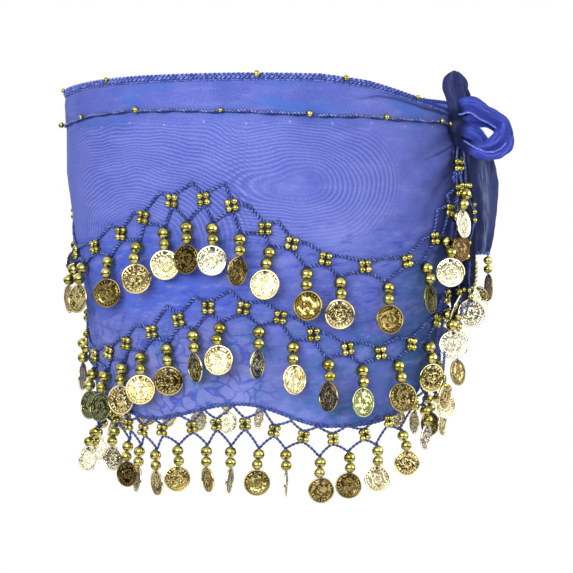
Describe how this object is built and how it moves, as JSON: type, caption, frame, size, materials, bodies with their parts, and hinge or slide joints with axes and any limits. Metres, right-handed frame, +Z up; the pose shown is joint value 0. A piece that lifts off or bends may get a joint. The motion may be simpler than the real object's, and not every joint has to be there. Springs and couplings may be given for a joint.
{
  "type": "belly dance hip scarf",
  "caption": "Sheer blue chiffon hip scarf, worn and tied at one side, with beaded crochet nets of hanging gold coins",
  "frame": {"origin": "centre of the wearer's hips, at mid height of the waistband", "axes": "+Z up, the side seen in front faces -Y, the knot is towards +X"},
  "size_m": [0.2871, 0.2027, 0.2601],
  "materials": {
    "chiffon": "sheer double layer, soft sheen",
    "tied_cloth": "many layers of the same chiffon, so deeper in colour",
    "crochet": "twisted cotton chain stitch",
    "gold_trim": "bright gold plated beads and stamped coins on blue crochet"
  },
  "bodies": {
    "root": {"panel": "chiffon", "waistband": "chiffon", "top_edging": "crochet", "band_chain": "crochet", "coin_net_upper": "gold_trim", "coin_net_middle": "gold_trim", "coin_net_hem": "gold_trim", "knot": "tied_cloth", "bow_loop": "tied_cloth", "tie_ear": "tied_cloth", "tie_tail": "tied_cloth", "tail_trim": "gold_trim"}
  },
  "joints": []
}
